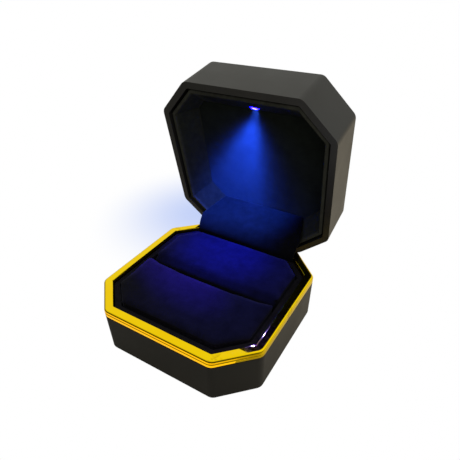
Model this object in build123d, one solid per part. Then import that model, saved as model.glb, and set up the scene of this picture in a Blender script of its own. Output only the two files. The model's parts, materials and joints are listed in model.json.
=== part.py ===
"""Octagonal ring box with a lit lid, standing open.

Millimetres. +Z is up, the front is -Y and the hinge is along +X at the rear.
The origin is the middle of the flat underside that the box rests on.
Pieces of the lid are drawn with the lid shut, then turned back to the open stop.
"""
import os
from math import atan2, cos, degrees, radians, sin, sqrt, tan

from build123d import *

# ---------------------------------------------------------------- driving sizes
# Outline shared by the base and the lid: a rectangle with its corners cut off.
plan_width = 70.0
plan_depth = 68.5
plan_chamfer = 12.5            # leg of each cut corner, along X and along Y
plan_corner_radius = 3.5       # rounding of the eight upright edges
least_corner_radius = 0.6      # rounding kept where an outline is drawn far in
soft_corner_radius = 2.0       # upright edges of the cushions

wall = 2.4                     # moulded wall of base and lid
seat_gap = 0.05                # running gap between faces that bear on each other
fit_gap = 0.3                  # easy gap round soft or loose pieces

# Base moulding
shell_height = 16.7
shell_floor = 2.0
shell_foot_radius = 1.0

# Plated trim ring on the rim of the base
trim_height = 3.1
trim_land = 3.4                # width of the flat top
trim_edge_radius = 0.9
trim_lip_radius = 0.3
trim_groove_drop = 1.05        # from the top down to the groove
trim_groove_width = 0.4
trim_groove_depth = 0.45
trim_bead_radius = 0.45        # both edges of the bead below the groove
trim_skirt_depth = 3.6         # how far the skirt reaches into the base
trim_skirt_gap = 0.2
trim_snap_reach = 0.35         # how far each snap bead stands out of the skirt
trim_snap_length = 9.0
trim_snap_height = 0.8

# Flocked tray and its two ring cushions
tray_recess = 1.45             # collar of the tray, below the top of the trim
tray_collar = 2.2
tray_collar_thickness = 1.0
tray_collar_radius = 0.45
tray_wall = 1.0
cushion_rise = 1.3             # top of the cushions above the collar
cushion_edge_radius = 1.0
slot_front = -1.2              # rear face of the front cushion at its ends
slot_bow = 1.2                 # how far that face bows to the front at mid width
slot_width = 1.0
slot_roll_radius = 4.5         # rear cushion rolls down into the slot

# Hinge
hinge_inset = 0.75             # axis, in from the rear face
hinge_drop = 2.2               # axis, below the top of the trim
hinge_radius = 1.3
hinge_pin_radius = 0.6
hinge_length = 28.0
hinge_knuckles = 5
hinge_knuckle_gap = 0.2
hinge_plate = 0.5
hinge_base_leaf = 8.6          # plate below the axis
hinge_lid_leaf = 11.4          # plate above the axis, lid shut
hinge_clearance = 0.3
hinge_head = 0.5
stake_radius = 0.75
stake_head_radius = 1.3
stake_head = 0.3
stake_spacing = 18.0
lid_open_angle = 78.3          # degrees from shut to the open stop

# Lid moulding
lid_gap = 0.2                  # between the rim of the lid and the trim, shut
lid_height = 19.6
lid_draft = 0.4                # how much the crown of the lid is drawn in
lid_edge_radius = 1.6
lid_rib_width = 1.4

# Lining of the lid. Depths are measured from the rim of the lid.
lining_set_back = 1.0          # lip of the lining, in from the rim
lining_gap = 0.9               # dark step between the rim and the lip
lining_lip = 1.1
lining_skirt = 5.0
lining_wall = 1.0
lining_depth = 12.0            # to the face of the back panel
lining_lean = 4.0              # how far side walls draw in over that depth
lining_brow = 13.0             # front edge of the back panel, in from the front face
panel_thickness = 1.0
panel_ledge = 0.6

# Lamp in the sloping front wall of the lining
lamp_radius = 1.9
lamp_flange_radius = 2.2
lamp_flange = 0.8
lamp_length = 3.9
lamp_proud = 0.3               # middle of the lens above the lining
lamp_lens = 0.5                # height of the shallow lens
lamp_depth = 9.9               # down the slope, as a depth from the rim
lamp_lead_radius = 0.25
lamp_lead_pitch = 2.54
holder_radius = 2.9
holder_wall_gap = 0.1

# Circuit board, its screws and what is soldered to it
board_thickness = 0.8
board_boss = 1.2
board_left = 6.5
board_right = 21.0
board_arm_left = -9.0          # arm of the board that carries the lamp
board_arm_depth = 8.0
board_wall_gap = 0.35          # to the rear wall of the lid
board_rib_gap = 0.5            # to the front ribs of the lid
board_corner_radius = 1.0
screw_radius = 0.8
screw_head_radius = 1.6
screw_head = 1.0
screw_bite = 1.0
chip_width = 4.0
chip_height = 1.1
resistor_length = 2.0
resistor_width = 1.25
resistor_height = 0.6

# Coin cell and its holder
cell_radius = 10.0
cell_thickness = 3.2
cell_cap = 0.4                 # step of the negative cap
cell_cap_inset = 1.3
cell_edge = 0.25
holder_x = -8.0
holder_y = 2.0
holder_wall = 1.6
holder_height = 3.9
contact_thickness = 0.25
contact_width = 4.0
contact_offset = 3.2           # of each contact, either side of the cell's middle
contact_step = 1.2             # from the holder to where each tab bends
contact_solder = 2.0           # length of each tab on the board

# Switch worked by the base as the lid shuts
plunger_x = 18.0
plunger_inset = 2.6            # in from the rear face
plunger_radius = 0.7
plunger_reach = 1.0            # beyond the rim when the lid is open
plunger_stay = 0.05            # tip to trim when the lid is shut
plunger_guide_radius = 1.25
plunger_guide_depth = 7.6
plunger_collar_radius = 1.1
plunger_collar = 0.6
plunger_entry = 0.6            # rod inside the switch when it is let go
spring_wire_radius = 0.13
spring_turns = 5
spring_wire_sides = 6
switch_width = 5.6
switch_depth = 3.6
switch_height = 3.6
pocket_gap = 0.25

# Velvet flap over the hinge
flap_side = 11.0               # edges over the hinge, in from the sides of the box
flap_foot_side = 12.0
flap_tip_side = 15.3
flap_thickness = 1.0
flap_gap = 0.3                 # to the cushion and to the tray
flap_foot_depth = 6.0          # tucked below the top of the trim
flap_bend_radius = 7.0
flap_slope = 16.0              # degrees above level, from the bend to the panel
flap_end_gap = 1.5             # from the lining's rear wall to the sheet

# ---------------------------------------------------------------- derived sizes
half_width = plan_width / 2
half_depth = plan_depth / 2
trim_top = shell_height + trim_height
tray_top = trim_top - tray_recess
tray_inset = trim_land + fit_gap
pocket_inset = tray_inset + tray_collar
tray_floor_top = shell_floor + tray_wall
cushion_inset = pocket_inset + fit_gap
cushion_top = tray_top + cushion_rise
flap_width = plan_width - 2 * flap_side
flap_foot_width = plan_width - 2 * flap_foot_side
flap_tip_width = plan_width - 2 * flap_tip_side
cushion_rear = half_depth - pocket_inset - flap_thickness - 2 * flap_gap

hinge_y = half_depth - hinge_inset
hinge_z = trim_top - hinge_drop
hinge_face = hinge_y - hinge_radius          # flush face of both leaves
hinge_back = hinge_face + hinge_plate
hinge_well = hinge_radius + hinge_clearance
hinge_notch = hinge_length + 2 * (hinge_head + hinge_clearance)

rim = trim_top + lid_gap                     # height of the lid's rim when shut
lid_ceiling = rim + lid_height - wall
lid_draft_angle = degrees(atan2(lid_draft, lid_height))

lip_outer = wall + lining_gap
lip_inner = lip_outer + lining_lip
lip_z = rim + lining_set_back
panel_z = rim + lining_depth
panel_inset = lip_inner + lining_lean
slope_y = -(half_depth - lip_inner)          # foot of the sloping front wall
slope_run = lining_brow - lip_inner
slope_rise = panel_z - lip_z
slope_angle = atan2(slope_rise, slope_run)

lamp_z = rim + lamp_depth
lamp_y = slope_y + (lamp_z - lip_z) / tan(slope_angle)

cell_holder_reach = cell_radius + fit_gap + holder_wall
board_z = lid_ceiling - board_boss - board_thickness
board_top = board_z + board_thickness
board_front = -(half_depth - wall - lining_gap - board_rib_gap)
board_rear = half_depth - wall - board_wall_gap
plunger_y = half_depth - plunger_inset
switch_z = board_z - switch_height
plunger_travel = plunger_reach - lid_gap + plunger_stay
collar_z = rim + plunger_guide_depth + seat_gap
pocket_radius = plunger_guide_radius + pocket_gap

hinge_axis = Axis((0, hinge_y, hinge_z), (1, 0, 0))


# ---------------------------------------------------------------- shared shapes
def outline(inset=0.0, radius=None):
    """Octagonal outline, drawn in evenly from the outside of the walls."""
    w, d = half_width - inset, half_depth - inset
    leg = plan_chamfer - inset * (2 - sqrt(2))
    corners = [(w, -d + leg), (w, d - leg), (w - leg, d), (leg - w, d),
               (-w, d - leg), (-w, -d + leg), (leg - w, -d), (w - leg, -d)]
    face = Polygon(*corners, align=None)
    return fillet(face.vertices(), radius or max(plan_corner_radius - inset, least_corner_radius))


def slab(inset, low, high, radius=None):
    """Octagonal block between two heights."""
    return Pos(0, 0, low) * extrude(outline(inset, radius), high - low)


def band(outer, inner, low, high):
    """Octagonal ring between two insets and two heights."""
    return slab(outer, low, high) - slab(inner, low, high)


def block(x0, x1, y0, y1, z0, z1):
    """Box given by its faces."""
    return Pos((x0 + x1) / 2, (y0 + y1) / 2, (z0 + z1) / 2) * Box(x1 - x0, y1 - y0, z1 - z0)


def rod(x, y, low, high, radius):
    """Upright cylinder."""
    return Pos(x, y, (low + high) / 2) * Cylinder(radius, high - low)


def bar(x0, x1, radius):
    """Cylinder on the hinge axis."""
    return Pos((x0 + x1) / 2, hinge_y, hinge_z) * Rot(0, 90, 0) * Cylinder(radius, x1 - x0)


def opened(piece):
    """Turn a piece of the lid from shut back to the open stop."""
    return piece.rotate(hinge_axis, -lid_open_angle)


def stake_positions():
    """Two moulded pegs on which each hinge leaf is staked."""
    return (-stake_spacing / 2, stake_spacing / 2)


def stake(x, z, foot):
    """Peg from the wall through a leaf, with its melted head."""
    shank = foot - hinge_face
    head_y = hinge_face - seat_gap - stake_head
    peg = Pos(x, hinge_face + shank / 2, z) * Rot(90, 0, 0) * Cylinder(stake_radius, shank)
    neck = Pos(x, hinge_face - seat_gap / 2, z) * Rot(90, 0, 0) * Cylinder(stake_radius, seat_gap)
    head = Pos(x, head_y + stake_head / 2, z) * Rot(90, 0, 0) * Cylinder(stake_head_radius, stake_head)
    return peg + neck + head


base_stake_z = hinge_z - hinge_base_leaf + 2.6
lid_stake_z = hinge_z + hinge_lid_leaf - 2.6


# ---------------------------------------------------------------- base
def make_base_shell():
    shell = slab(0, 0, shell_height)
    shell = fillet(shell.faces().sort_by(Axis.Z)[0].edges(), shell_foot_radius)
    shell -= slab(wall, shell_floor, shell_height)
    # Snap grooves for the beads of the trim skirt.
    for groove in trim_snaps(trim_snap_reach + trim_skirt_gap, seat_gap):
        shell -= groove
    # Well for the hinge barrel, and the sunk seat of the leaf below it.
    shell -= block(-hinge_notch / 2, hinge_notch / 2, hinge_face - hinge_clearance, half_depth + 1,
                   hinge_z - hinge_well, shell_height + 1)
    seat_half = hinge_length / 2 + seat_gap
    shell -= block(-seat_half, seat_half, hinge_face - 2 * wall, hinge_back + seat_gap,
                   hinge_z - hinge_base_leaf - seat_gap, hinge_z)
    for x in stake_positions():
        shell += stake(x, base_stake_z, hinge_back + 2 * seat_gap)
    return shell


def trim_snaps(reach, grow):
    """Snap beads on the two sides of the skirt, or the grooves that take them."""
    skirt = half_width - wall - trim_skirt_gap
    low = shell_height - trim_skirt_depth + trim_snap_height
    for side in (-1, 1):
        inner, outer = side * (skirt - reach), side * (skirt + reach)
        yield block(min(inner, outer), max(inner, outer),
                    -trim_snap_length / 2 - grow, trim_snap_length / 2 + grow,
                    low - grow, low + trim_snap_height + grow)


def make_trim_ring():
    groove_top = trim_top - trim_groove_drop
    cap = slab(0, groove_top, trim_top)
    cap = fillet(cap.faces().sort_by(Axis.Z)[-1].edges(), trim_edge_radius)
    bead = slab(0, shell_height, groove_top - trim_groove_width)
    bead = fillet(bead.faces().filter_by(Axis.Z).edges(), trim_bead_radius)
    ring = cap + bead + slab(trim_groove_depth, shell_height, groove_top)
    ring -= slab(trim_land, shell_height, trim_top)
    top_inner = ring.faces().sort_by(Axis.Z)[-1].inner_wires()[0].edges()
    ring = fillet(top_inner, trim_lip_radius)
    ring += band(wall + trim_skirt_gap, trim_land, shell_height - trim_skirt_depth, shell_height)
    inner_skirt = half_width - trim_land
    for bead in trim_snaps(trim_snap_reach, 0):
        ring += bead & slab(0, 0, shell_height)
    ring -= slab(trim_land, 0, shell_height)
    # Open at the rear for the barrel; the skirt still runs across in front of it.
    ring -= block(-hinge_notch / 2, hinge_notch / 2, hinge_face - hinge_clearance, half_depth + 1,
                  hinge_z - hinge_well, trim_top + 1)
    return ring


def make_insert_tray():
    collar = slab(tray_inset, tray_top - tray_collar_thickness, tray_top)
    collar = fillet(collar.faces().sort_by(Axis.Z)[-1].edges(), tray_collar_radius)
    cup = slab(pocket_inset - tray_wall, shell_floor, tray_top - tray_collar_thickness / 2)
    return collar + cup - slab(pocket_inset, tray_floor_top, tray_top)


def cushion_block():
    """Block that both cushions are cut from."""
    return slab(cushion_inset, tray_floor_top + fit_gap, cushion_top, soft_corner_radius)


def make_front_cushion():
    half = half_width
    bowed = Polyline((-half, slot_front), (-half, -half_depth), (half, -half_depth), (half, slot_front))
    lip = ThreePointArc((half, slot_front), (0, slot_front - slot_bow), (-half, slot_front))
    cushion = cushion_block() & extrude(make_face([*bowed.edges(), lip]), 2 * trim_top)
    return fillet(cushion.faces().sort_by(Axis.Z)[-1].edges(), cushion_edge_radius)


def make_rear_cushion():
    start = slot_front + slot_width
    cushion = cushion_block() & block(-half_width, half_width, start, cushion_rear, 0, 2 * trim_top)
    edges = cushion.faces().sort_by(Axis.Z)[-1].edges().sort_by(Axis.Y)
    cushion = fillet(edges[0], slot_roll_radius)
    rest = cushion.faces().sort_by(Axis.Z)[-1].edges().sort_by(Axis.Y)
    return fillet(rest[1:], cushion_edge_radius)


def make_hinge_flap():
    """Velvet strip from behind the rear cushion, over the hinge, to the back panel."""
    foot = cushion_rear + flap_gap + flap_thickness / 2
    lid_end = Vertex(0, half_depth - panel_inset - flap_end_gap, panel_z - flap_thickness)
    end = opened(lid_end).center()
    corner_z = end.Z - (end.Y - foot) * tan(radians(flap_slope))
    path = FilletPolyline((foot, trim_top - flap_foot_depth), (foot, corner_z), (end.Y, end.Z),
                          radius=flap_bend_radius)
    sheet = extrude(Plane.YZ * trace(path, line_width=flap_thickness), flap_width / 2, both=True)
    # The strip is widest over the hinge and narrows into the lining.
    half, low, tip = flap_width / 2, flap_foot_width / 2, flap_tip_width / 2
    plan = [(low, 0), (low, foot), (half, hinge_y), (tip, end.Y + flap_thickness)]
    mirrored = [(-x, y) for x, y in reversed(plan)]
    sheet &= extrude(Polygon(*plan, *mirrored, align=None), 3 * trim_top)
    # Tucked into the tray, it follows the cut corners of the pocket.
    mouth = tray_top + fit_gap
    tucked = slab(pocket_inset + fit_gap, 0, mouth)
    return sheet & (tucked + block(-half_width, half_width, 0, 2 * plan_depth, mouth, 3 * trim_top))


# ---------------------------------------------------------------- hinge
def knuckles(parity):
    """Spans along X of the knuckles that belong to one leaf."""
    pitch = hinge_length / hinge_knuckles
    for index in range(hinge_knuckles):
        if index % 2 == parity:
            low = -hinge_length / 2 + index * pitch
            yield low + hinge_knuckle_gap / 2, low + pitch - hinge_knuckle_gap / 2


def make_leaf(parity, side, reach, stake_z):
    """Hinge leaf: a flat plate whose fingers curl round the pin."""
    clear = hinge_well
    ends = sorted((hinge_z + side * clear, hinge_z + side * reach))
    leaf = block(-hinge_length / 2, hinge_length / 2, hinge_face, hinge_back, *ends)
    corners = leaf.edges().filter_by(Axis.Y).sort_by(Axis.Z)
    far = corners[:2] if side < 0 else corners[-2:]
    leaf = fillet(far, hinge_radius)
    for x0, x1 in knuckles(parity):
        finger = sorted((hinge_z, hinge_z + side * (clear + hinge_plate)))
        leaf += block(x0, x1, hinge_face, hinge_back, *finger) + bar(x0, x1, hinge_radius)
    leaf -= bar(-hinge_length, hinge_length, hinge_pin_radius + seat_gap / 2)
    for x in stake_positions():
        hole = Pos(x, hinge_back, stake_z) * Rot(90, 0, 0)
        leaf -= hole * Cylinder(stake_radius + seat_gap, 4 * hinge_plate)
    return leaf


def make_hinge_pin():
    half = hinge_length / 2 + hinge_clearance / 2
    pin = bar(-half, half, hinge_pin_radius)
    for side in (-1, 1):
        span = sorted((side * half, side * (half + hinge_head)))
        pin += bar(*span, (hinge_radius + hinge_pin_radius) / 2)
    return pin


# ---------------------------------------------------------------- lid, drawn shut
def make_lid_shell():
    lid = Pos(0, 0, rim) * extrude(outline(), lid_height, taper=lid_draft_angle)
    lid = fillet(lid.faces().sort_by(Axis.Z)[-1].edges(), lid_edge_radius)
    lid -= slab(wall, rim, lid_ceiling)
    for rib in lining_ribs():
        lid += rib
    for x, y in screw_positions():
        lid += rod(x, y, board_top, lid_ceiling, screw_head_radius)
        lid -= rod(x, y, board_top, lid_ceiling + screw_bite + seat_gap, screw_radius - seat_gap)
    # Guide of the plunger, and the pocket above it for spring and switch.
    lid += rod(plunger_x, plunger_y, rim, rim + plunger_guide_depth, plunger_guide_radius)
    lid -= rod(plunger_x, plunger_y, rim - 1, rim + plunger_guide_depth, plunger_radius + seat_gap)
    guide_top = rim + plunger_guide_depth
    lid -= rod(plunger_x, plunger_y, guide_top, lid_ceiling, pocket_radius)
    lid -= switch_box(pocket_gap, lid_ceiling)
    # Sunk seat of the hinge leaf.
    seat_half = hinge_length / 2 + seat_gap
    lid -= block(-seat_half, seat_half, hinge_face - wall, hinge_back + seat_gap,
                 rim - 1, hinge_z + hinge_lid_leaf + seat_gap)
    for x in stake_positions():
        lid += stake(x, lid_stake_z, hinge_back + 2 * seat_gap)
    return lid


def lining_ribs():
    """Upright ribs that centre the lining inside the lid."""
    low = lip_z + tray_wall
    reach = lining_gap - seat_gap
    for side in (-1, 1):
        face = side * (half_width - wall)
        span = sorted((face + side * 0.5, face - side * reach))
        for y in (-half_depth / 4, half_depth / 4):
            yield block(*span, y - lid_rib_width / 2, y + lid_rib_width / 2, low, lid_ceiling)
    front = -(half_depth - wall)
    for x in (-half_width / 4, half_width / 4):
        yield block(x - lid_rib_width / 2, x + lid_rib_width / 2, front - 0.5, front + reach, low, lid_ceiling)


def hollow(offset):
    """Space inside the lining, or the same space grown by the wall thickness."""
    low = Pos(0, 0, lip_z) * outline(lip_inner - offset)
    high = Pos(0, 0, panel_z) * outline(panel_inset - offset)
    space = loft([low, high])
    normal = (0, -sin(slope_angle), cos(slope_angle))
    point = Vector(0, slope_y, lip_z) + Vector(normal) * offset
    return split(space, bisect_by=Plane(origin=point, z_dir=normal), keep=Keep.BOTTOM)


def make_lid_lining():
    lip = band(lip_outer, lip_inner, lip_z, lip_z + lining_wall)
    outer_edge = lip.faces().sort_by(Axis.Z)[0].outer_wire().edges()
    lip = fillet(outer_edge, lining_wall / 3)
    skirt = band(lip_outer, lip_outer + lining_wall * 0.8, lip_z + lining_wall / 2, lip_z + lining_skirt)
    lining = lip + skirt + hollow(lining_wall) - hollow(0)
    lining -= lamp_place() * Cylinder(lamp_radius + holder_wall_gap, 6 * lining_wall)
    # Clearance round the plunger guide.
    reach = plunger_guide_radius + pocket_gap
    lining -= block(plunger_x - reach, plunger_x + reach, plunger_y - reach, half_depth,
                    rim, lip_z + 2 * lining_skirt)
    return lining


def make_back_panel():
    inset = panel_inset - panel_ledge
    panel = slab(inset, panel_z, panel_z + panel_thickness)
    front = lining_brow - panel_ledge - half_depth
    panel &= block(-half_width, half_width, front, half_depth, panel_z, panel_z + panel_thickness)
    return panel


def lamp_place(along=0.0):
    """Frame on the sloping wall; its +Z points into the hollow of the lid."""
    normal = Vector(0, sin(slope_angle), -cos(slope_angle))
    return Plane(origin=Vector(0, lamp_y, lamp_z) + normal * along, x_dir=(1, 0, 0), z_dir=normal)


def make_lamp():
    shoulder = lamp_proud - lamp_lens
    base = lamp_proud - lamp_length
    profile = Polyline((0, base), (lamp_flange_radius, base), (lamp_flange_radius, base + lamp_flange),
                       (lamp_radius, base + lamp_flange), (lamp_radius, shoulder))
    bend = (lamp_radius ** 2 + lamp_lens ** 2) / (2 * lamp_lens)
    fall = bend - sqrt(bend ** 2 - lamp_radius ** 2 / 4)
    dome = ThreePointArc((lamp_radius, shoulder), (lamp_radius / 2, lamp_proud - fall), (0, lamp_proud))
    axis_line = Line((0, lamp_proud), (0, base))
    face = make_face([*profile.edges(), dome, axis_line])
    return lamp_place() * revolve(Plane.XZ * face, Axis.Z)


def make_lamp_leads():
    """Two leads from the back of the lamp straight into the underside of the board."""
    base = lamp_proud - lamp_length
    reach = 2 * board_boss + board_thickness + lid_height - lamp_depth
    leads = []
    for side in (-1, 1):
        spot = Pos(side * lamp_lead_pitch / 2, 0, base - reach / 2)
        lead = lamp_place() * spot * Cylinder(lamp_lead_radius, reach)
        leads.append(lead & block(-half_width, half_width, -half_depth, half_depth, rim, board_z))
    return Compound(leads)


def make_lamp_holder():
    top = -lining_wall - seat_gap
    base = lamp_proud - lamp_length
    ring = Pos(0, 0, (top + base) / 2) * Cylinder(holder_radius, top - base)
    ring = chamfer(ring.edges().sort_by(Axis.Z)[0], holder_wall_gap * 5)
    ring -= Cylinder(lamp_radius + holder_wall_gap, 2 * lamp_length)
    seat = Pos(0, 0, base + lamp_flange / 2)
    ring -= seat * Cylinder(lamp_flange_radius + holder_wall_gap, lamp_flange + 2 * seat_gap)
    return lamp_place() * ring


def screw_positions():
    """Two screws on the lamp's arm, one at each end of the column beside the cell."""
    margin = screw_head_radius + 0.6
    front = board_front + margin
    return ((board_arm_left + margin, front), (board_right - margin, front),
            (board_left + margin, holder_y - cell_radius), (board_left + margin, board_rear - 2 * switch_depth))


def make_board():
    column = Pos((board_left + board_right) / 2, (board_front + board_rear) / 2) * Rectangle(
        board_right - board_left, board_rear - board_front)
    arm = Pos((board_arm_left + board_right) / 2, board_front + board_arm_depth / 2) * Rectangle(
        board_right - board_arm_left, board_arm_depth)
    plan = column + arm
    plan = fillet(plan.vertices(), board_corner_radius)
    board = Pos(0, 0, board_z) * extrude(plan, board_thickness)
    for x, y in screw_positions():
        board -= rod(x, y, board_z, board_top, screw_radius + seat_gap)
    return board


def make_board_screws():
    screws = []
    for x, y in screw_positions():
        head = rod(x, y, board_z - screw_head, board_z, screw_head_radius)
        head = chamfer(head.edges().sort_by(Axis.Z)[0], screw_head * 0.5)
        slot = block(x - screw_head_radius, x + screw_head_radius, y - 0.2, y + 0.2,
                     board_z - screw_head, board_z - screw_head / 2)
        shank = rod(x, y, board_z, lid_ceiling + screw_bite, screw_radius - 2 * seat_gap)
        screws.append(head - slot + shank)
    return Compound(screws)


def make_board_parts():
    middle = (board_left + board_right) / 2
    low = board_z - chip_height
    chip = block(middle - chip_width / 2, middle + chip_width / 2, -chip_width / 2, chip_width / 2, low, board_z)
    parts = [chamfer(chip.edges().group_by(Axis.Z)[0], 0.2)]
    for index in range(2):
        y = chip_width * (1.4 + 0.8 * index)
        parts.append(block(middle - resistor_length / 2, middle + resistor_length / 2,
                           y - resistor_width / 2, y + resistor_width / 2, board_z - resistor_height, board_z))
    return Compound(parts)


def make_cell():
    """Can with the smaller cap of its negative side towards the crown of the lid."""
    high = lid_ceiling - contact_thickness - seat_gap
    cap = rod(holder_x, holder_y, high - cell_cap, high, cell_radius - cell_cap_inset)
    can = rod(holder_x, holder_y, high - cell_thickness, high - cell_cap, cell_radius)
    return chamfer(can.edges().filter_by(GeomType.CIRCLE), cell_edge) + cap


def make_cell_holder():
    reach = cell_holder_reach
    low = lid_ceiling - holder_height
    holder = block(holder_x - reach, holder_x + reach, holder_y - reach, holder_y + reach, low, lid_ceiling)
    holder = fillet(holder.edges().filter_by(Axis.Z), holder_wall)
    holder -= rod(holder_x, holder_y, low, lid_ceiling, cell_radius + fit_gap)
    # Finger gap for lifting the cell out.
    holder -= block(holder_x - reach, holder_x, holder_y - contact_width, holder_y + contact_width,
                    low, lid_ceiling - 2 * contact_thickness)
    # Slot for the tongue of the negative contact.
    y = holder_y - contact_offset
    half = contact_width / 2 + seat_gap
    holder -= block(holder_x, holder_x + reach, y - half, y + half,
                    lid_ceiling - contact_thickness - seat_gap, lid_ceiling)
    return holder


def make_contact_plus():
    """Strip across the open face of the cell, turned up the holder to a tab under the board."""
    z1 = lid_ceiling - holder_height - seat_gap
    leg_x = holder_x + cell_holder_reach + seat_gap
    y0 = holder_y + contact_offset - contact_width / 2
    y1 = y0 + contact_width
    strip = block(holder_x - cell_radius * 0.6, leg_x + contact_thickness, y0, y1, z1 - contact_thickness, z1)
    leg = block(leg_x, leg_x + contact_thickness, y0, y1, z1 - contact_thickness, board_z)
    tab = block(leg_x, board_left + contact_solder, y0, y1, board_z - contact_thickness, board_z)
    return strip + leg + tab


def make_contact_minus():
    """Disc behind the cell, with a tongue out under the holder to a tab on the board."""
    z1 = lid_ceiling
    y0 = holder_y - contact_offset - contact_width / 2
    y1 = y0 + contact_width
    bend_x = holder_x + cell_holder_reach + contact_step
    disc = rod(holder_x, holder_y, z1 - contact_thickness, z1, cell_radius * 0.7)
    tongue = block(holder_x, bend_x, y0, y1, z1 - contact_thickness, z1)
    step = block(bend_x - contact_thickness, bend_x, y0, y1, board_top, z1)
    tab = block(bend_x - contact_thickness, board_left + contact_solder, y0, y1,
                board_top, board_top + contact_thickness)
    return disc + tongue + step + tab


def switch_box(grow, top):
    """Body of the switch, or its pocket in the rear wall of the lid."""
    rear = plunger_y + plunger_collar_radius + grow
    front = rear - switch_depth - 2 * grow
    return block(plunger_x - switch_width / 2 - grow, plunger_x + switch_width / 2 + grow,
                 front, rear, switch_z - grow, top)


def make_switch():
    body = switch_box(0, board_z)
    body = chamfer(body.edges().filter_by(Axis.Z), 0.3)
    bore = plunger_entry + 2 * plunger_travel
    return body - rod(plunger_x, plunger_y, switch_z, switch_z + bore, plunger_radius + seat_gap)


def make_plunger():
    tip = rim - plunger_reach
    stem = rod(plunger_x, plunger_y, tip + plunger_radius, switch_z + plunger_entry, plunger_radius)
    nose = Pos(plunger_x, plunger_y, tip + plunger_radius) * Sphere(plunger_radius)
    collar = rod(plunger_x, plunger_y, collar_z, collar_z + plunger_collar, plunger_collar_radius)
    return stem + nose + collar


def make_plunger_spring():
    low = collar_z + plunger_collar + spring_wire_radius
    high = switch_z - spring_wire_radius
    mean = plunger_radius + seat_gap + 1.6 * spring_wire_radius
    pitch = (high - low) / spring_turns
    path = Helix(pitch, high - low, mean)
    section = RegularPolygon(spring_wire_radius, spring_wire_sides)
    coil = sweep(Plane(origin=path @ 0, z_dir=path % 0) * section, path=path, is_frenet=True)
    return Pos(plunger_x, plunger_y, low) * coil


# ---------------------------------------------------------------- write the pieces
base_pieces = {
    "base_shell": make_base_shell,
    "trim_ring": make_trim_ring,
    "insert_tray": make_insert_tray,
    "front_cushion": make_front_cushion,
    "rear_cushion": make_rear_cushion,
    "hinge_flap": make_hinge_flap,
    "hinge_base_leaf": lambda: make_leaf(0, -1, hinge_base_leaf, base_stake_z),
    "hinge_pin": make_hinge_pin,
}
lid_pieces = {
    "lid_shell": make_lid_shell,
    "lid_lining": make_lid_lining,
    "lid_back_panel": make_back_panel,
    "hinge_lid_leaf": lambda: make_leaf(1, 1, hinge_lid_leaf, lid_stake_z),
    "lamp": make_lamp,
    "lamp_leads": make_lamp_leads,
    "lamp_holder": make_lamp_holder,
    "circuit_board": make_board,
    "board_parts": make_board_parts,
    "board_screws": make_board_screws,
    "coin_cell": make_cell,
    "cell_holder": make_cell_holder,
    "cell_contact_plus": make_contact_plus,
    "cell_contact_minus": make_contact_minus,
    "lid_switch": make_switch,
    "switch_plunger": make_plunger,
    "plunger_spring": make_plunger_spring,
}

os.makedirs("parts", exist_ok=True)
for name, make in base_pieces.items():
    export_step(make(), f"parts/{name}.step")
for name, make in lid_pieces.items():
    export_step(opened(make()), f"parts/{name}.step")

print("hinge axis", hinge_y, hinge_z, "open angle", lid_open_angle)
print("plunger travel", plunger_travel)
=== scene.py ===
# %% [markdown]
# # A ring box with a lit lid
#
# An octagonal ring box stands open. Its base and lid are black plastic with a
# soft-touch coat, the rim of the base carries a plated gold ring, and the
# inside is black velvet that a small blue lamp in the lid lights up.
#
# This file dresses an exact model of the box. The model gives every piece its
# place, so each cell below reads positions from it and only adds the look.

# %% Load the model
import json
import math

import bmesh
import bpy
from mathutils import Matrix, Vector


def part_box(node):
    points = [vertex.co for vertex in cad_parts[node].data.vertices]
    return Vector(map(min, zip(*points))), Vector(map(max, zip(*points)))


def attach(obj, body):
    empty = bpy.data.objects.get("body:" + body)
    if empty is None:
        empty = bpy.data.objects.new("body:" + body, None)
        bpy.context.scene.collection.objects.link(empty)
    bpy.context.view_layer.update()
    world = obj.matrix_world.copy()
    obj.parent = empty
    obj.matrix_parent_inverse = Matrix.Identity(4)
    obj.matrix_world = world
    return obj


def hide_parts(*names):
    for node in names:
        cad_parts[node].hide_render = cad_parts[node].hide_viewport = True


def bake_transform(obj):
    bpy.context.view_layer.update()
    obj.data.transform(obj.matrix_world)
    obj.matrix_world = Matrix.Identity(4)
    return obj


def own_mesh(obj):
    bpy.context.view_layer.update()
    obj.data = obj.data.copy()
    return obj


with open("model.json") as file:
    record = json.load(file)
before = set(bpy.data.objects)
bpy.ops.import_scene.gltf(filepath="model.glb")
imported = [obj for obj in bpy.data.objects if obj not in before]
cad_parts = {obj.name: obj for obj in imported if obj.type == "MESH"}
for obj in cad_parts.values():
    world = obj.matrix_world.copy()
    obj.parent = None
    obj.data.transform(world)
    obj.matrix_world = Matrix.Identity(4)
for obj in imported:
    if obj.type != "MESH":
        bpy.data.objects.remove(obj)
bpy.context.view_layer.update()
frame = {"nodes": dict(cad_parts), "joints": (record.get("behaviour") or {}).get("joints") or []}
nodes = frame["nodes"]

# %% [markdown]
# ## Sizes taken from the model
#
# A maker would read these from the drawing. Here most come from the boxes of
# the pieces, so the dressed box follows the model when that changes. The lid
# is drawn shut and stands open, so places inside it are turned with it.

# %% Sizes
MM = 0.001


def span(node):
    """Lowest and highest corner of a piece of the model."""
    low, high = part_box(node)
    return Vector(low), Vector(high)


def joint(name):
    """A joint of the model, by its name."""
    return next(j for j in frame["joints"] if j["name"] == name)


HALF_D = span("base_shell")[1].y
TRIM_TOP = span("trim_ring")[1].z
COLLAR_Z = span("insert_tray")[1].z
RIM_Z = TRIM_TOP + 0.2 * MM           # rim of the lid when it is shut
HINGE = Vector(joint("lid_hinge")["pos_m"])
OPENING = Matrix.Rotation(-math.radians(joint("lid_hinge")["range_deg"][1]), 3, "X")


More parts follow.
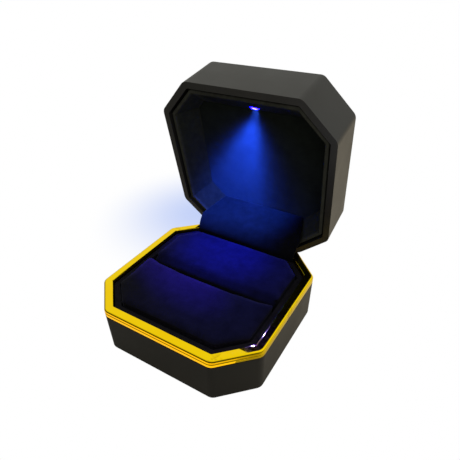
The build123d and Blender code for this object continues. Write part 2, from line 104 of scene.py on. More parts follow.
def in_open_lid(inset, depth):
    """Place on the middle line of the open lid, in from its front face and deep from its rim."""
    return HINGE + OPENING @ (Vector((0, inset - HALF_D, RIM_Z + depth)) - HINGE)


print("half depth", HALF_D, "trim top", TRIM_TOP, "hinge", HINGE)

# %% [markdown]
# ## Colour and node helpers
#
# Colours are written as hex values, as in a paint shop, and turned to linear
# light by one function. `add` makes a shader node with its settings and
# links. The other helpers are the patterns that most materials share: a
# random one, a stretch of its values, and a run of colours.

# %% Colour and node helpers


def paint(code, dim=1.0):
    """sRGB hex to the linear colour that shaders use, dimmed if asked."""
    parts = [int(code[i:i + 2], 16) / 255 for i in (1, 3, 5)]
    linear = [c / 12.92 if c <= 0.04045 else ((c + 0.055) / 1.055) ** 2.4 for c in parts]
    return (*(c * dim for c in linear), 1.0)


def add(tree, kind, settings=None, **links):
    """Adds a node. Settings are its properties, links are values or sockets by input name or i and number."""
    node = tree.nodes.new("ShaderNode" + kind)
    for key, value in (settings or {}).items():
        setattr(node, key, value)
    for key, value in links.items():
        by_number = key[0] == "i" and key[1:].isdigit()
        socket = node.inputs[int(key[1:]) if by_number else key.replace("_", " ")]
        if isinstance(value, bpy.types.NodeSocket):
            tree.links.new(value, socket)
        else:
            socket.default_value = value
    return node


def noise(tree, place, pitch, detail=2.0, rough=0.5):
    """Soft random pattern; pitch is the spacing of its patches in metres."""
    return add(tree, "TexNoise", Vector=place, Scale=1 / pitch, Detail=detail, Roughness=rough).outputs["Fac"]


def remap(tree, value, start, end, low, high, curve="LINEAR"):
    """Turns a run from start to end into one from low to high."""
    settings = {"interpolation_type": curve}
    return add(tree, "MapRange", settings, i0=value, i1=start, i2=end, i3=low, i4=high).outputs["Result"]


def ramp(tree, value, *stops, curve="LINEAR"):
    """Colour for a value, through stops of position and colour from low to high."""
    node = add(tree, "ValToRGB", i0=value)
    node.color_ramp.interpolation = curve
    ends = node.color_ramp.elements
    ends[0].position, ends[0].color = stops[0]
    ends[1].position, ends[1].color = stops[-1]
    for position, colour in stops[1:-1]:
        ends.new(position).color = colour
    return node.outputs["Color"]


def distance(tree, place, point):
    """How far each place lies from a point."""
    return add(tree, "VectorMath", {"operation": "DISTANCE"}, i0=place, i1=point).outputs["Value"]


def new_material(name):
    """Empty node material, its tree, and the socket that tells a place on the piece."""
    material = bpy.data.materials.new(name)
    material.use_nodes = True
    material.node_tree.nodes.clear()
    return material, material.node_tree, add(material.node_tree, "TexCoord").outputs["Object"]


def surface(tree, shader):
    """Gives the material its shader."""
    add(tree, "OutputMaterial", Surface=shader.outputs[0])


def dress(material, *names):
    """Gives pieces of the model their finish."""
    for name in names:
        nodes[name].data.materials.clear()
        nodes[name].data.materials.append(material)
    print(material.name, "on", ", ".join(names))


# %% [markdown]
# ## Mesh helpers
#
# The hard pieces come from the model as they are. Only the soft ones are
# shaped here. They and the spring each come from a bmesh that becomes a piece,
# mostly riding on a body of the model. Modifiers do the slow work and are then
# baked into the mesh.

# %% Mesh helpers


def make_piece(name, bm, body, material, smooth_angle=40.0):
    """Turns a bmesh into a piece that rides on a body of the model."""
    bmesh.ops.remove_doubles(bm, verts=bm.verts, dist=1e-7)
    mesh = bpy.data.meshes.new(name)
    bm.to_mesh(mesh)
    bm.free()
    piece = bpy.data.objects.new(name, mesh)
    bpy.context.scene.collection.objects.link(piece)
    mesh.polygons.foreach_set("use_smooth", [True] * len(mesh.polygons))
    mesh.set_sharp_from_angle(angle=math.radians(smooth_angle))
    mesh.materials.append(material)
    if body:
        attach(piece, body)
    print(name, len(mesh.polygons), "faces")
    return piece


def mesh_of(node):
    """Bmesh of a piece of the model, with its points joined."""
    bm = bmesh.new()
    bm.from_mesh(nodes[node].data)
    bmesh.ops.remove_doubles(bm, verts=bm.verts, dist=1e-6)
    return bm


def bake_modifiers(piece):
    """Replaces a piece's mesh by what its modifiers make of it."""
    graph = bpy.context.evaluated_depsgraph_get()
    mesh = bpy.data.meshes.new_from_object(piece.evaluated_get(graph))
    piece.modifiers.clear()
    piece.data = mesh


def clamp(value):
    """Value kept between 0 and 1."""
    return min(max(value, 0.0), 1.0)


# %% [markdown]
# ## Soft-touch black
#
# Base and lid are moulded ABS under a sprayed soft-touch coat. The coat is a
# rubbery paint: it spreads highlights wide, goes grey towards grazing light,
# and has a faint orange peel. It could be one flat black, but then the big
# plain faces would look like paper, so the tone and the gloss drift a little.

# %% Soft-touch coat


def soft_touch_coat():
    material, tree, place = new_material("soft_touch_black_coat")
    # Dimples of the sprayed coat every 0.4 mm, and a drift of its gloss over 18 mm.
    peel = noise(tree, place, 0.4 * MM, 3.0, 0.55)
    cloud = noise(tree, place, 18 * MM, 4.0, 0.6)
    bump = add(tree, "Bump", Strength=0.12, Distance=0.03 * MM, Height=peel)
    surface(tree, add(tree, "BsdfPrincipled", IOR=1.5, Specular_IOR_Level=0.42, Normal=bump.outputs["Normal"],
                      Base_Color=ramp(tree, cloud, (0.35, paint("#10100F")), (0.7, paint("#191815"))),
                      Roughness=remap(tree, cloud, 0.3, 0.75, 0.42, 0.5)))
    return material


dress(soft_touch_coat(), "base_shell", "lid_shell")

# %% [markdown]
# ## Gold plate
#
# The trim is moulded ABS, plated with nickel and a thin flash of gold. Plate
# over moulded plastic is almost a mirror, with a very slight waviness left by
# the mould and a trace of haze from handling. Here and there the flash is
# rubbed thinner, which shows as a darker, browner gold.

# %% Gold plate


def gold_plate():
    material, tree, place = new_material("gold_plated_abs")
    # Mould waves 11 mm apart, handling haze in 1.4 mm flecks, and rub marks about 13 mm long.
    wave = noise(tree, place, 11 * MM)
    haze = noise(tree, place, 1.4 * MM, 5.0, 0.7)
    rub = noise(tree, place, 13 * MM, 6.0, 0.62)
    tone = ramp(tree, rub, (0.31, paint("#BF960F")), (0.4, paint("#FFDC0E")), (0.7, paint("#FFD40A")))
    bump = add(tree, "Bump", Strength=0.03, Distance=0.2 * MM, Height=wave)
    surface(tree, add(tree, "BsdfPrincipled", Base_Color=tone, Metallic=1.0, Normal=bump.outputs["Normal"],
                      Roughness=remap(tree, haze, 0.4, 0.8, 0.02, 0.07)))
    return material


dress(gold_plate(), "trim_ring")

# %% [markdown]
# ## Velvet and flock
#
# Cushions and flap are covered with short black velvet, the tray and the
# lining of the lid with flock. The fibres stand up, so both are nearly black
# when seen along the pile and catch light at their edges, which is what a
# sheen layer is for. Brushing leaves soft patches that lean one way or the
# other.
#
# The lining of the lid is painted with light and shade over its length. Over
# the lamp lies the brow, which is painted near black as shade, and along the
# lip the flock is painted patchily lighter as a highlight.

# %% Velvet
# Place and direction of the painted highlight along the lining's lip.
LIP_HIGHLIGHT_AT = in_open_lid(HALF_D, 1.0 * MM)
LIP_HIGHLIGHT_AXIS = OPENING @ Vector((0, 0, 1))
# Middle of the painted shade on the brow over the lamp.
BROW_SHADE_AT = in_open_lid(8.7 * MM, 6.5 * MM)


def painted_shade_near(tree, place, colour, tone, at, reach, fade):
    """Painted shade: colour that goes over to a dark tone within reach of a point."""
    share = remap(tree, distance(tree, place, at), reach, reach + fade, 1.0, 0.0, "SMOOTHSTEP")
    return add(tree, "MixRGB", Fac=share, Color1=colour, Color2=paint(tone)).outputs["Color"]


def painted_highlight_along(tree, place, colour, patches, tone, at, axis, depth):
    """Painted highlight: colour that goes patchily over to a lighter tone up to a plane, and softly back over a
    depth beyond it.
    """
    away = add(tree, "VectorMath", {"operation": "SUBTRACT"}, i0=place, i1=at)
    along = add(tree, "VectorMath", {"operation": "DOT_PRODUCT"}, i0=away.outputs["Vector"], i1=axis)
    edge = remap(tree, along.outputs["Value"], 0.0, depth, 1.0, 0.0, "SMOOTHSTEP")
    share = add(tree, "Math", {"operation": "MULTIPLY"}, i0=edge, i1=patches)
    return add(tree, "MixRGB", Fac=share.outputs["Value"], Color1=colour, Color2=paint(tone)).outputs["Color"]


def velvet(name, dark, light, nap=3.8 * MM, sheen=0.35, tint="#6A6C80", brow=None, lip=None):
    """Short pile; nap is the pitch of its brushed patches, brow and lip say where painted shade and a painted
    highlight go.
    """
    material, tree, place = new_material(name)
    # Single fibres are some 0.03 mm thick, too fine to show, so tufts of 0.28 mm stand for them.
    pile = noise(tree, place, 0.28 * MM, 2.0, 0.7)
    brushed = noise(tree, place, nap, 5.0, 0.65)
    colour = ramp(tree, brushed, (0.3, paint(dark)), (0.72, paint(light)))
    # Painted shade over the brow, then a patchy painted highlight along the lip.
    if brow:
        colour = painted_shade_near(tree, place, colour, *brow)
    if lip:
        colour = painted_highlight_along(tree, place, colour, brushed, *lip)
    coarse = add(tree, "Bump", Strength=0.25, Distance=0.2 * MM, Height=brushed)
    bump = add(tree, "Bump", Strength=0.6, Distance=0.12 * MM, Height=pile, Normal=coarse.outputs["Normal"])
    surface(tree, add(tree, "BsdfPrincipled", Base_Color=colour, Roughness=0.95, IOR=1.4,
                      Specular_IOR_Level=0.1, Sheen_Weight=sheen, Sheen_Roughness=0.4,
                      Sheen_Tint=paint(tint), Normal=bump.outputs["Normal"]))
    return material


cushion_velvet = velvet("black_velvet_pile", "#0A0A10", "#13131B")
dress(velvet("black_velvet_panel", "#0D100D", "#151915", sheen=0.2, tint="#6E736C"), "lid_back_panel")
# The lining is painted darker over the brow as shade and patchily lighter along its lip as a highlight.
dress(velvet("black_flocked_lining", "#181A16", "#23251F", nap=2.4 * MM, sheen=0.05, tint="#70736A",
             brow=("#020302", BROW_SHADE_AT, 16.0 * MM, 5.0 * MM),
             lip=("#3A3A33", LIP_HIGHLIGHT_AT, LIP_HIGHLIGHT_AXIS, 1.6 * MM)), "lid_lining")
dress(velvet("black_flocked_collar", "#111016", "#1A1920", nap=2.4 * MM, sheen=0.3), "insert_tray")

# %% [markdown]
# ## Ring cushions
#
# Two foam pads under velvet, pressed into the tray with the ring slot between
# them. A plain block would show hard edges, so each starts as the model's
# pad, a little small, and is turned into an even net of squares. Then cloth,
# blown up by a little air, gives the tight crown of a stuffed pad. Last, its
# brim is laid over the collar of the tray.

# %% Plump helper
CLOTH_GROW = 20.0                     # cloth behaves better at the size of a seat pad
CLOTH_FRAMES = 20


def blow_up(piece, swell, rest_z):
    """Moves the points to where air under cloth takes them, but no further than swell, and not below rest_z."""
    cloth = piece.modifiers.new("air", "CLOTH")
    cloth.settings.use_pressure = True
    cloth.settings.uniform_pressure_force = 4.0
    cloth.settings.effector_weights.gravity = 0.0
    cloth.settings.quality = 5
    cloth.settings.tension_stiffness = 15.0
    cloth.settings.compression_stiffness = 15.0
    scene = bpy.context.scene
    for number in range(1, CLOTH_FRAMES + 1):
        scene.frame_set(number)
    graph = bpy.context.evaluated_depsgraph_get()
    blown = piece.evaluated_get(graph).to_mesh()
    moved = [v.co.copy() for v in blown.vertices]
    piece.evaluated_get(graph).to_mesh_clear()
    piece.modifiers.clear()
    scene.frame_set(1)
    largest = 0.0
    for vertex, end in zip(piece.data.vertices, moved):
        start = vertex.co.copy()
        free = clamp((start.z / CLOTH_GROW - rest_z) / (2 * MM))
        limit = swell * CLOTH_GROW * free
        step = end - start
        if step.length > limit:
            step *= limit / max(step.length, 1e-9)
        vertex.co = start + step
        largest = max(largest, step.length / CLOTH_GROW)
    print(piece.name, "swelled by up to", round(largest / MM, 2), "mm")


def plump(name, bm, net, swell, rest_z, body, material):
    """Even net of squares over a rough block, swollen like stuffed velvet. Sizes in metres."""
    bmesh.ops.recalc_face_normals(bm, faces=bm.faces)
    bmesh.ops.scale(bm, vec=(CLOTH_GROW, CLOTH_GROW, CLOTH_GROW), verts=bm.verts)
    piece = make_piece(name, bm, None, material, 180.0)
    remesh = piece.modifiers.new("net", "REMESH")
    remesh.mode = "VOXEL"
    remesh.voxel_size = net * CLOTH_GROW
    remesh.use_smooth_shade = True
    bake_modifiers(piece)
    smooth = piece.modifiers.new("ease", "SMOOTH")
    smooth.factor = 0.5
    smooth.iterations = 3
    bake_modifiers(piece)
    blow_up(piece, swell, rest_z)
    piece.data.transform(Matrix.Diagonal((1 / CLOTH_GROW, 1 / CLOTH_GROW, 1 / CLOTH_GROW, 1)))
    subdivide = piece.modifiers.new("fine", "SUBSURF")
    subdivide.levels = subdivide.render_levels = 1
    bake_modifiers(piece)
    piece.data.polygons.foreach_set("use_smooth", [True] * len(piece.data.polygons))
    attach(piece, body)
    print(name, len(piece.data.polygons), "faces after the net")
    return piece


# %% Front and rear cushion
EASE = 0.15 * MM                      # the pads start a little small, since they swell
NET = 0.9 * MM                        # side of the squares before they are halved
SWELL = 0.45 * MM
BRIM = 0.8 * MM                       # how far a pad hangs over the collar
LIP_REACH = 12 * MM                   # part of the front pad that bends with its lip
LIP_BACK, LIP_BOW, LIP_RISE = 0.65, 1.15, 0.75     # in mm: back at the ends, bowed at mid width, and up


def bow_lip(vertex):
    """The lip of the front pad stands further back at its ends than at mid width."""
    high = span("front_cushion")[1]
    share = clamp((vertex.co.y - (high.y - LIP_REACH)) / LIP_REACH)
    vertex.co.y += share * (LIP_BACK - LIP_BOW * (1 - (vertex.co.x / high.x) ** 2)) * MM
    vertex.co.z += share * LIP_RISE * MM if vertex.co.z > COLLAR_Z else 0.0


def lay_brim(node, pad):
    """Spreads the top of a pad over the collar, and lifts its crown at mid width."""
    low, high = span(node)
    size = high - low
    half = size.x / 2
    for vertex in pad.data.vertices:
        place = vertex.co
        rise = clamp((place.z - COLLAR_Z - 0.12 * MM) / (0.6 * MM))
        over = rise * rise * (3 - 2 * rise) * BRIM
        place.x *= 1 + over / half
        if node == "front_cushion":
            place.y -= over * clamp((high.y - place.y) / size.y)
        crown = 0.35 + 0.35 * (1 - (place.x / half) ** 2)
        if node == "rear_cushion":
            crown *= clamp((place.y - low.y - 2 * MM) / (6 * MM))
        place.z += over * crown


def pad_of(node, name):
    """The model's plain pad, drawn in a little and plumped up."""
    bm = mesh_of(node)
    low, high = span(node)
    middle = (low + high) / 2
    size = high - low
    factor = Vector([1 - 2 * EASE / size[axis] for axis in range(3)])
    for vertex in bm.verts:
        vertex.co = middle + Vector([(vertex.co - middle)[axis] * factor[axis] for axis in range(3)])
        if node == "front_cushion":
            bow_lip(vertex)
    pad = plump(name, bm, NET, SWELL, COLLAR_Z - 1.2 * MM, "base", cushion_velvet)
    lay_brim(node, pad)
    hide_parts(node)
    return pad


front_pad = pad_of("front_cushion", "front_cushion_pad")
rear_pad = pad_of("rear_cushion", "rear_cushion_pad")

# %% [markdown]
# ## Velvet flap over the hinge
#
# One strip of velvet hides the hinge: it rises behind the rear cushion, bends
# back and is glued to the panel of the lid. It starts as a flat grid of its
# cut size, which is then laid along the bend, so that it keeps its length,
# and gets its thickness last.

# %% Flap
FOOT_Y = 27.55 * MM
FOOT_Z = 13.8 * MM
TIP = Vector((0, 45.2, 29.34)) * MM
BEND = 7.0 * MM
RISE = math.radians(16.0)
FLAP_T = 0.8 * MM
WIDTHS = ((0.0, 23.0), (0.35, 23.6), (0.5, 24.0), (1.0, 19.7))     # share of the length, half width in mm


def flap_run():
    """Lengths of the upright foot, the bend and the straight run into the lid."""
    corner_z = TIP.z - (TIP.y - FOOT_Y) * math.tan(RISE)
    turn = math.pi / 2 - RISE
    tangent = BEND * math.tan(turn / 2)
    run = (TIP.y - FOOT_Y) / math.cos(RISE) - tangent
    return corner_z - tangent - FOOT_Z, BEND * turn, run


def flap_point(s):
    """Place and upward normal at a length s along the middle of the strip."""
    foot, bend, run = flap_run()
    if s <= foot:
        return Vector((0, FOOT_Y, FOOT_Z + s)), Vector((0, -1, 0))
    angle = min((s - foot) / BEND, bend / BEND)
    centre = Vector((0, FOOT_Y + BEND, FOOT_Z + foot))
    normal = Vector((0, -math.cos(angle), math.sin(angle)))
    spot = centre + normal * BEND
    rest = max(s - foot - bend, 0.0)
    return spot + Vector((0, math.sin(angle), math.cos(angle))) * rest, normal


def half_width_at(share):
    """Half width of the strip at a share of its length."""
    for (a, wide_a), (b, wide_b) in zip(WIDTHS, WIDTHS[1:]):
        if share <= b:
            return (wide_a + (wide_b - wide_a) * (share - a) / (b - a)) * MM
    return WIDTHS[-1][1] * MM


flap_length = sum(flap_run())
bm = bmesh.new()
bmesh.ops.create_grid(bm, x_segments=44, y_segments=32, size=0.5)
for vertex in bm.verts:
    share = vertex.co.y + 0.5
    side = vertex.co.x * 2
    spot, normal = flap_point(share * flap_length)
    # The middle of the strip stands up a little over the hinge.
    lift = 0.12 * MM * math.sin(math.pi * share) * (1 - side ** 4)
    vertex.co = spot + normal * lift + Vector((side * half_width_at(share), 0, 0))
cut_area = sum(f.calc_area() for f in bm.faces)
flap = make_piece("hinge_flap_velvet", bm, None, cushion_velvet, 180.0)
thickness = flap.modifiers.new("thickness", "SOLIDIFY")
thickness.thickness = FLAP_T
thickness.offset = 0.0
thickness.use_even_offset = True
edge = flap.modifiers.new("edge", "BEVEL")
edge.width = 0.25 * MM
edge.segments = 2
edge.limit_method = "ANGLE"
bake_modifiers(flap)
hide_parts("hinge_flap")
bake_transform(flap)
print("flap", round(flap_length / MM, 2), "mm long,", round(cut_area * 1e6), "mm2")

# %% [markdown]
# ## Lamp
#
# A short wide-angle lamp of clear epoxy looks out of the sloping wall over
# the panel. Seen from the side, its lens is brightest near the chip and falls
# off to its rim, and its blue turns purer on the way.

# %% Lamp lens
SLOPE_FOOT, SLOPE_RISE, SLOPE_RUN = 4.4, 11.0, 8.6     # in mm: the sloping wall's inset, height and depth
LENS_UP = 8.9                                          # in mm, from the foot of that wall
LENS = in_open_lid((SLOPE_FOOT + LENS_UP / SLOPE_RISE * SLOPE_RUN) * MM, 9.9 * MM)
AXIS = OPENING @ Vector((0, SLOPE_RISE, -SLOPE_RUN)).normalized()
print("lens at", [round(c / MM, 2) for c in LENS], "axis", [round(c, 3) for c in AXIS])


def lit_epoxy():
    material, tree, place = new_material("clear_epoxy_lens_lit_blue")
    share = remap(tree, distance(tree, place, LENS + AXIS * 0.4 * MM), 0.0, 2.0 * MM, 0.0, 1.0)
    glow = ramp(tree, share, (0.38, paint("#1210FF")), (0.6, paint("#0A02FF")), (0.8, paint("#0400FF")),
                (1.0, paint("#0000FF")))
    surface(tree, add(tree, "BsdfPrincipled", Base_Color=paint("#C8CCE0"), Roughness=0.05, IOR=1.54,
                      Emission_Color=glow, Emission_Strength=remap(tree, share, 0.5, 0.95, 220.0, 20.0)))
    return material


dress(lit_epoxy(), "lamp")

# %% [markdown]
# ## Metal and plastic inside the lid
#
# Behind the lining are a board with its screws, a coin cell in its holder, two
# contacts and a plunger with a spring that switches the lamp off when the lid
# shuts. Metals get their grain from how they were made: the hinge is pressed
# from cold-rolled strip, the cell can is drawn and nickel-plated. The plastics
# are plain moulded ones, and the board has a green solder mask.

# %% Metal and plastic


def metal(name, colour, rough, grain, stretch=(1.0, 1.0, 1.0), bump=0.1):
    """Metal with lines of grain; grain is their spacing in metres, stretch says how long they are."""
    material, tree, place = new_material(name)
    turned = add(tree, "Mapping", i0=place, Scale=stretch)
    lines = noise(tree, turned.outputs["Vector"], grain, 4.0, 0.6)
    cloud = noise(tree, place, 4.5 * MM, 3.0)
    relief = add(tree, "Bump", Strength=bump, Distance=0.04 * MM, Height=lines)
    surface(tree, add(tree, "BsdfPrincipled", Metallic=1.0, Normal=relief.outputs["Normal"],
                      Base_Color=ramp(tree, lines, (0.25, paint(colour, 0.78)), (0.7, paint(colour))),
                      Roughness=remap(tree, cloud, 0.3, 0.7, rough, rough + 0.12)))
    return material


def moulded(name, dark, light, rough, grain, bump=0.2):
    """Moulded plastic with the fine spark texture of its mould; grain is its pitch in metres."""
    material, tree, place = new_material(name)
    spark = noise(tree, place, grain, 2.0, 0.6)
    flow = noise(tree, place, 7.7 * MM, 3.0)
    relief = add(tree, "Bump", Strength=bump, Distance=0.03 * MM, Height=spark)
    surface(tree, add(tree, "BsdfPrincipled", IOR=1.5, Normal=relief.outputs["Normal"],
                      Base_Color=ramp(tree, flow, (0.35, paint(dark)), (0.7, paint(light))),
                      Roughness=remap(tree, flow, 0.3, 0.7, rough, rough + 0.1)))
    return material


dress(metal("cold_rolled_steel_strip", "#A9A8A4", 0.32, 0.4 * MM, (0.15, 1.0, 1.0)),
      "hinge_base_leaf", "hinge_lid_leaf")
dress(metal("drawn_steel_pin", "#B4B3AF", 0.22, 0.3 * MM, (0.08, 1.0, 1.0)), "hinge_pin")
dress(metal("tinned_copper_wire", "#C9C8C2", 0.25, 0.3 * MM, (1.0, 1.0, 0.2)), "lamp_leads")
dress(metal("zinc_plated_screw_steel", "#BDBFC2", 0.28, 0.3 * MM), "board_screws")
dress(metal("nickel_plated_cell_can", "#C4C3BD", 0.2, 0.5 * MM, bump=0.05), "coin_cell")
dress(metal("plated_phosphor_bronze_strip", "#C9B07A", 0.24, 0.4 * MM, (0.2, 1.0, 1.0)),
      "cell_contact_plus", "cell_contact_minus")
dress(moulded("green_solder_mask_on_glass_board", "#0B3A1B", "#0F4A23", 0.28, 0.6 * MM), "circuit_board")
dress(moulded("black_epoxy_chip_cases", "#141414", "#1F1F1E", 0.45, 0.2 * MM), "board_parts")
dress(moulded("black_moulded_nylon", "#151515", "#20201F", 0.4, 0.3 * MM),
      "lamp_holder", "cell_holder", "lid_switch")
dress(moulded("white_moulded_acetal", "#DEDCD2", "#E9E7DF", 0.3, 0.4 * MM, 0.1), "switch_plunger")

# %% [markdown]
# ## Spring behind the plunger
#
# The lid's rim pushes the plunger in when the box shuts, and a coil of music
# wire pushes it out again. Here the coil is the model's own, copied as it is,
# and it rides on the lid as a stiff whole.

# %% Spring
bm = mesh_of("plunger_spring")
spring_wire = metal("music_wire_spring", "#8E8D88", 0.3, 0.3 * MM, (1.0, 1.0, 0.3))
coil = make_piece("plunger_spring_coil", bm, "lid", spring_wire, 50.0)
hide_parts("plunger_spring")
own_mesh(coil)

# %% [markdown]
# ## Camera and paper floor
#
# The box is seen from the front right and above, on white paper that is lit
# from below like a light table. To the camera the paper is plain white, with
# the blue light of the lamp that spills past the lid painted on it. To the
# box it is brighter behind and darker in front, which gives the plate
# something to mirror.

# %% Camera
CAM_AZ, CAM_EL, CAM_ROLL = math.radians(31.45), math.radians(38.21), math.radians(-0.67)
CAM_AT = Vector((68.1, -96.4, 119.0)) * MM
back = Vector((math.sin(CAM_AZ) * math.cos(CAM_EL), -math.cos(CAM_AZ) * math.cos(CAM_EL), math.sin(CAM_EL)))
right = Vector((math.cos(CAM_AZ), math.sin(CAM_AZ), 0))
up = back.cross(right)
turned_right = math.cos(CAM_ROLL) * right + math.sin(CAM_ROLL) * up
turned_up = math.cos(CAM_ROLL) * up - math.sin(CAM_ROLL) * right
camera_data = bpy.data.cameras.new("camera")
camera_data.sensor_width = 36.0       # both in mm, as on a lens
camera_data.lens = 30.7330435
camera_data.shift_x = 0.0024
camera_data.shift_y = 0.0752
camera_data.clip_start = 5 * MM
camera = bpy.data.objects.new("camera", camera_data)
bpy.context.scene.collection.objects.link(camera)
pose = Matrix((turned_right, turned_up, back)).transposed().to_4x4()
pose.translation = CAM_AT
camera.matrix_world = pose
bpy.context.scene.camera = camera
print("camera lens", round(camera_data.lens, 2))

# %% Paper floor
GLOW_AT = Vector((-50, 66, 0)) * MM   # middle of the blue pool beside the lid
GLOW_REACH = 66 * MM


def white_paper():
    """White with a painted pool of the lamp's blue light to the camera; plain paper, brighter behind, to the
    box.
    """
    material, tree, place = new_material("white_paper_sweep")
    share = remap(tree, distance(tree, place, GLOW_AT), 0.0, GLOW_REACH, 0.0, 1.0)
    pool = ramp(tree, share, (0.0, paint("#C4D2F8")), (1.0, paint("#FFFFFF")), curve="EASE")
    lit = add(tree, "Emission", Color=pool, Strength=1.0)
    along = add(tree, "VectorMath", {"operation": "DOT_PRODUCT"}, i0=place, i1=(0.35, 0.93, 0.0))
    shine = remap(tree, along.outputs["Value"], -60 * MM, 120 * MM, 0.07, 0.62, "SMOOTHSTEP")
    warm = add(tree, "Emission", Color=paint("#FFEFD0"), Strength=shine)
    matt = add(tree, "BsdfDiffuse", Color=paint("#9A9A98"))
    plain = add(tree, "AddShader", i0=warm.outputs["Emission"], i1=matt.outputs["BSDF"])
    seen = add(tree, "LightPath")
    surface(tree, add(tree, "MixShader", i0=seen.outputs["Is Camera Ray"], i1=plain.outputs["Shader"],
                      i2=lit.outputs["Emission"]))
    return material


bm = bmesh.new()
bmesh.ops.create_grid(bm, x_segments=1, y_segments=1, size=3.0)
bmesh.ops.translate(bm, vec=(0, 0, -0.1 * MM), verts=bm.verts)
floor_mesh = bpy.data.meshes.new("floor")
bm.to_mesh(floor_mesh)
bm.free()
floor_mesh.materials.append(white_paper())
floor = bpy.data.objects.new("floor", floor_mesh)
bpy.context.scene.collection.objects.link(floor)

# %% [markdown]
# ## Sky and studio lamps
#
# The sky is a smooth dome that is bright above and behind and dark in front,
# so the front faces stay nearly black while the top faces and the plate
# shine. Three soft lamps add what a studio would add with white cards: a
# trace of light on the lid, one on its step, and a warm one along the front
# of the gold. Each is linked to the pieces it is meant for.

# %% Sky dome
SKY_FROM = Vector((-0.05, 0.5, 0.86)).normalized()
world = bpy.data.worlds.new("studio")
bpy.context.scene.world = world
world.use_nodes = True
tree = world.node_tree
tree.nodes.clear()
look = add(tree, "TexCoord")
facing = add(tree, "VectorMath", {"operation": "DOT_PRODUCT"}, i0=look.outputs["Generated"], i1=SKY_FROM)
dome = remap(tree, facing.outputs["Value"], -0.1, 0.8, 0.02, 0.84, "SMOOTHSTEP")
unseen = add(tree, "Background", Color=paint("#FFFEF4"), Strength=dome)
plain = add(tree, "Background", Color=paint("#FFFFFF"), Strength=1.0)
seen = add(tree, "LightPath")
mixed = add(tree, "MixShader", i0=seen.outputs["Is Camera Ray"], i1=unseen.outputs["Background"],
            i2=plain.outputs["Background"])
add(tree, "OutputWorld", Surface=mixed.outputs["Shader"])
bpy.context.scene.view_settings.view_transform = "Standard"

# %% Studio lamps


def group(name, pieces):
    """Collection of pieces, which is what light linking asks for."""
    collection = bpy.data.collections.new(name)
    for piece in pieces:
        collection.objects.link(piece)
    return collection


def aimed_light(data, place, aim, only):
    """Puts a light in place, turns it to its aim, and links it to the pieces it may reach."""
    light = bpy.data.objects.new(data.name, data)
    bpy.context.scene.collection.objects.link(light)
    light.location = place
    light.rotation_euler = (Vector(aim) - Vector(place)).to_track_quat("-Z", "Y").to_euler()
    light.light_linking.receiver_collection = group(data.name + "_reach", only)
    return light


def soft_light(name, place, aim, size, power, only, colour="#FFFFFF"):
    """Large soft light; place and aim are in mm."""
    data = bpy.data.lights.new(name, "AREA")
    data.size = size
    data.energy = power
    data.color = paint(colour)[:3]
    aimed_light(data, Vector(place) * MM, Vector(aim) * MM, only).visible_camera = False


trim, tray = nodes["trim_ring"], nodes["insert_tray"]
lining, panel = nodes["lid_lining"], nodes["lid_back_panel"]
soft_light("lid_fill", (120, -260, 200), (0, 30, 60), 0.25, 0.5, [nodes["lid_shell"], lining, panel])
soft_light("step_fill", (30, -5, 62), (-33, 30, 60), 0.04, 0.005, [nodes["lid_shell"]])
soft_light("trim_shine", (-20, -105, 0.4), (-20, -105, 90), 0.14, 0.055, [trim], "#FFD48C")
print("lit the studio")

# %% [markdown]
# ## The lamp's own light
#
# The little lamp throws a blue beam down the panel and on to the cushions. A
# real lens has a bright core and a wide, weak skirt. One spot can't have
# both, so cones of several widths are laid over each other. They start at the
# lens, ride on the lid, and fall off slowly, as light does that skims a pile.
#
# - The beam lights the panel, and weaker cones light the walls beside it.
# - One cone lights the flap, and four floods light the cushions: blue at the
#   back, violet at the lip of the front one.
# - The stem starts the beam right at the lens, the brow gets a trace, and the
#   glint is what the gold at the front right mirrors. These three are clear,
#   which means that the pieces close to the lens don't shade them.

# %% Lamp light
PANEL_GAIN = 1.15                     # the light skims the pile, so it takes a lot of it
BEAM_FROM = LENS + AXIS * 0.6 * MM + OPENING @ Vector((0, 0, 0.7)) * MM
FLOOD_FROM = LENS + AXIS * MM
BEAM_EASE, WALL_EASE, STEM_EASE = 300e-6, 400e-6, 10e-6     # each tames the glare close to the lens


def down(tilt):
    """Down the panel, turned a little towards the left, in degrees."""
    return OPENING @ Vector((-math.sin(math.radians(tilt)), math.cos(math.radians(tilt)), 0))


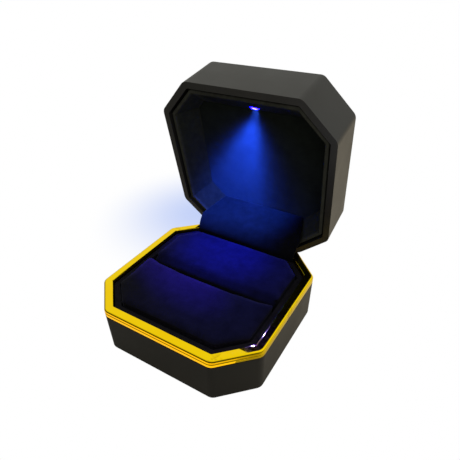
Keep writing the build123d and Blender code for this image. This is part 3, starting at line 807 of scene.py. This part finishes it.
def lamp_spot(name, place, aim, angle, power, colour, only, smooth=0.0, oval=(1, 1, 1), clear=False):
    """One cone of the lamp's light. Smooth makes its falloff slow, oval makes it wide."""
    data = bpy.data.lights.new(name, "SPOT")
    data.spot_size = math.radians(angle)
    data.spot_blend = 1.0
    data.shadow_soft_size = 0.4 * MM if clear else 1.2 * MM
    data.energy = power
    data.color = paint(colour)[:3]
    data.use_nodes = True
    falloff = add(data.node_tree, "LightFalloff", Strength=1.0, Smooth=smooth)
    data.node_tree.links.new(falloff.outputs["Linear" if smooth else "Quadratic"],
                             data.node_tree.nodes["Emission"].inputs["Strength"])
    light = aimed_light(data, place, aim, only)
    light.scale = oval
    if clear:                         # the one piece that shades it lies out of the way
        light.light_linking.blocker_collection = group(name + "_shade", [front_pad])
    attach(light, "lid")


for cone, tilt, power in ((46, 18, 400.0), (54, 17, 330.0), (64, 17, 390.0), (80, 14, 185.0), (100, 12, 58.0),
                          (150, 12, 8.0)):
    lamp_spot(f"lamp_beam_{cone}", BEAM_FROM, BEAM_FROM + down(tilt), cone, power * PANEL_GAIN, "#1D48FF",
              [panel], BEAM_EASE)
for cone, tilt, power in ((44, 22, 24.0), (64, 17, 15.0), (90, 14, 5.0), (130, 12, 0.7)):
    lamp_spot(f"lamp_wall_{cone}", BEAM_FROM, BEAM_FROM + down(tilt), cone, power, "#2450FF", [lining],
              WALL_EASE)
lamp_spot("lamp_beam_flap", BEAM_FROM, BEAM_FROM + down(14), 78, 74.0, "#3064FF", [flap], WALL_EASE)
for name, aim, cone, power, colour, only, oval in (
        ("lamp_flood", (-6, 19, 20), 44, 1.7, "#1A22FF", [rear_pad, tray], (1.3, 1.0, 1.0)),
        ("lamp_flood_wide", (4, 15, 20), 74, 0.65, "#2430FF", [rear_pad], (1, 1, 1)),
        ("lamp_flood_front", (-15, -1, 20), 32, 1.8, "#4A28FF", [front_pad], (2.0, 0.75, 1.0)),
        ("lamp_flood_low", (10, -5, 20), 62, 0.42, "#2836FF", [front_pad], (1, 1, 1))):
    lamp_spot(name, FLOOD_FROM, Vector(aim) * MM, cone, power, colour, only, oval=oval)
lamp_spot("lamp_stem", BEAM_FROM, BEAM_FROM + down(18) + OPENING @ Vector((0, 0, 0.7)), 60, 23.0, "#2450FF",
          [panel], STEM_EASE, clear=True)
lamp_spot("lamp_brow", LENS + AXIS * 1.5 * MM, LENS + down(10) * 1.5 * MM, 50, 0.3, "#2450FF", [lining],
          clear=True)
lamp_spot("lamp_glint", FLOOD_FROM, Vector((29, -25, 20)) * MM, 44, 60.0, "#0A08FF", [trim], clear=True)
# The lens glows by itself too, but only the gold takes light from it: the cones light the rest.
nodes["lamp"].light_linking.receiver_collection = group("lens_reach", [trim])
print("lit the lamp")
